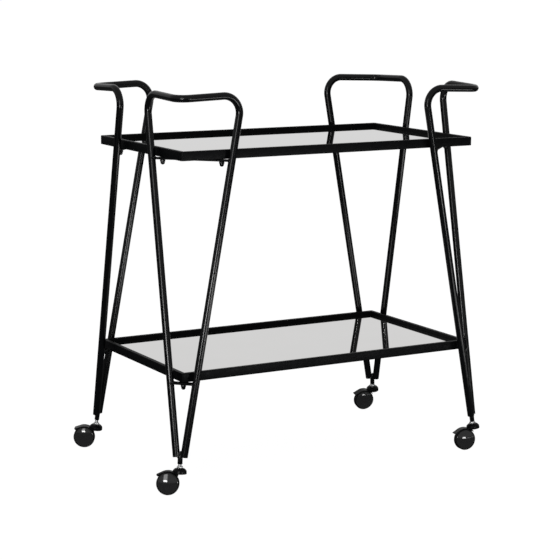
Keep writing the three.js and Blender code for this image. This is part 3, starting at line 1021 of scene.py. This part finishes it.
def caster(name, body_mesh, stem, axle, wheel):
    """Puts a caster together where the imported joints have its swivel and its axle."""
    swivel, roll = JOINTS[f"swivel_{name}"], JOINTS[f"roll_{name}_left"]
    pivot, hub = Vector(swivel["pos_m"]), Vector(roll["pos_m"])
    matrix = axis_matrix(pivot, Vector(swivel["axis"]).normalized(), hub - pivot)
    at_axle = matrix @ Matrix.Translation((TRAIL, 0, 0))
    across = at_axle @ Matrix.Rotation(math.pi / 2, 4, "X")
    body = f"caster_{name}"
    add_piece(f"{body}_body_shape", body_mesh, body, "black_nylon", f"{body}_body", matrix=matrix)
    add_piece(f"{body}_stem_shape", stem, "frame", "zinc_steel", f"{body}_stem", matrix=matrix)
    add_piece(f"{body}_axle_shape", axle, body, "zinc_steel", f"{body}_axle", matrix=across)
    for side, turn in (("left", -1), ("right", 1)):
        inner_face = at_axle @ Matrix.Translation((0, -turn * WHEEL_INSIDE, 0))
        place = inner_face @ Matrix.Rotation(turn * math.pi / 2, 4, "X")
        node = f"{body}_wheel_{side}"
        add_piece(f"{node}_shape", wheel, node, "black_nylon", node, matrix=place)


# ---------- build ----------

for corner_name, corner in CORNERS.items():
    leg_tube(corner_name, corner)
    caster_socket(corner_name, corner)
    foot_weld(corner_name, corner)
    brace(corner_name, "upper", corner)
    brace(corner_name, "lower", corner)

for tray_name in ("tray", "shelf"):
    tray_frame(tray_name)
    panel(f"{tray_name}_mirror", "mirror", MIRROR, GLASS_EDGE, MIRROR_ARRIS)
    panel(f"{tray_name}_board", "backing_board", BOARD, BOARD, BOARD_ARRIS)

cap_nut = cap_nut_mesh()
for node_name in sorted(frame["nodes"]):
    if "_nut_" in node_name:
        low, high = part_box(node_name)
        place = Matrix.Translation(((low.x + high.x) / 2, (low.y + high.y) / 2, high.z))
        add_steel(node_name, cap_nut, place)

caster_meshes = (caster_body_mesh(), stem_mesh(), axle_mesh(), wheel_mesh())
for corner_name in CORNERS:
    caster(corner_name, *caster_meshes)

# ---------- stage ----------


def add_camera():
    """The camera, placed and turned as seen from the front left of the cart."""
    data = bpy.data.cameras.new("camera")
    data.lens = CAMERA_LENS
    data.sensor_width = CAMERA_SENSOR
    data.clip_end = CAMERA_REACH
    camera = add_object("camera", data)
    turn = (
        Matrix.Rotation(CAMERA_AZIMUTH, 4, "Z")
        @ Matrix.Rotation(math.pi / 2 - CAMERA_ELEVATION, 4, "X")
        @ Matrix.Rotation(CAMERA_ROLL, 4, "Z")
    )
    camera.matrix_world = Matrix.Translation(CENTRE + CAMERA_OFFSET) @ turn
    bpy.context.scene.camera = camera


def add_floor():
    """A floor that reaches past the horizon, which shiny pieces don't mirror."""
    corners = ((-1, -1), (1, -1), (1, 1), (-1, 1))
    shell = Shell()
    shell.face(shell.ring([Vector((x, y, 0)) * FLOOR_REACH for x, y in corners]))
    floor = add_object("floor", shell.mesh("floor", [pale_floor()]))
    floor.visible_glossy = False


def softbox(name, azimuth, distance, height, width, tall, power, aim):
    """An area light at an azimuth in degrees from -Y towards +X, turned to look at aim."""
    data = bpy.data.lights.new(name, "AREA")
    data.shape = "RECTANGLE"
    data.size = width
    data.size_y = tall
    data.energy = power
    light = add_object(name, data)
    turn = math.radians(azimuth)
    light.location = CENTRE + Vector((math.sin(turn) * distance, -math.cos(turn) * distance, height))
    light.visible_camera = False
    light.rotation_mode = "QUATERNION"
    light.rotation_quaternion = (light.location - aim).to_track_quat("Z", "Y")
    return light


def add_lights():
    """Two softboxes in front on the left, a low one in front, one overhead and one that looks up."""
    middle, wheels, sky = (CENTRE + UP * height for height in (0.4, 0.1, 100))
    softbox("key", -46, distance=3.0, height=0.52, width=0.68, tall=0.32, power=20, aim=middle)
    softbox("upper", -46, distance=3.0, height=1.4, width=0.75, tall=1.2, power=14, aim=middle)
    softbox("low", 7, distance=2.7, height=0.14, width=0.6, tall=0.22, power=9, aim=wheels)
    top = softbox("top", 0, distance=0.01, height=3.2, width=3.0, tall=3.0, power=40, aim=middle)
    top.visible_glossy = False
    softbox("floor", 27, distance=1.55, height=0.02, width=1.3, tall=0.6, power=14, aim=sky)


def add_world():
    """A pale wall behind the cart, greyer walls to its sides, and darkness under the horizon."""
    world = bpy.data.worlds.new("studio")
    bpy.context.scene.world = world
    world.use_nodes = True
    tree = world.node_tree
    place = tree.nodes.new("ShaderNodeTexCoord")
    split = tree.nodes.new("ShaderNodeSeparateXYZ")
    tree.links.new(place.outputs["Generated"], split.inputs["Vector"])
    facing = tree.nodes.new("ShaderNodeVectorMath")
    facing.operation = "DOT_PRODUCT"
    tree.links.new(place.outputs["Generated"], facing.inputs[0])
    facing.inputs[1].default_value = (-math.sin(CAMERA_AZIMUTH), math.cos(CAMERA_AZIMUTH), 0)
    wall = spread(tree, facing.outputs["Value"], SIDE_WALL, BACK_WALL, WALL_TURN)
    shaded = tree.nodes.new("ShaderNodeMapRange")
    shaded.inputs["From Min"].default_value = HORIZON[0]
    shaded.inputs["From Max"].default_value = HORIZON[1]
    shaded.inputs["To Min"].default_value = FLOOR_GLOW
    tree.links.new(split.outputs["Z"], shaded.inputs["Value"])
    tree.links.new(wall, shaded.inputs["To Max"])
    path = tree.nodes.new("ShaderNodeLightPath")
    seen = tree.nodes.new("ShaderNodeMath")
    seen.operation = "MAXIMUM"
    tree.links.new(shaded.outputs["Result"], seen.inputs[0])
    tree.links.new(path.outputs["Is Camera Ray"], seen.inputs[1])
    tree.links.new(seen.outputs["Value"], tree.nodes["Background"].inputs["Color"])


add_camera()
add_floor()
add_lights()
add_world()
bpy.context.scene.view_settings.view_transform = "Standard"
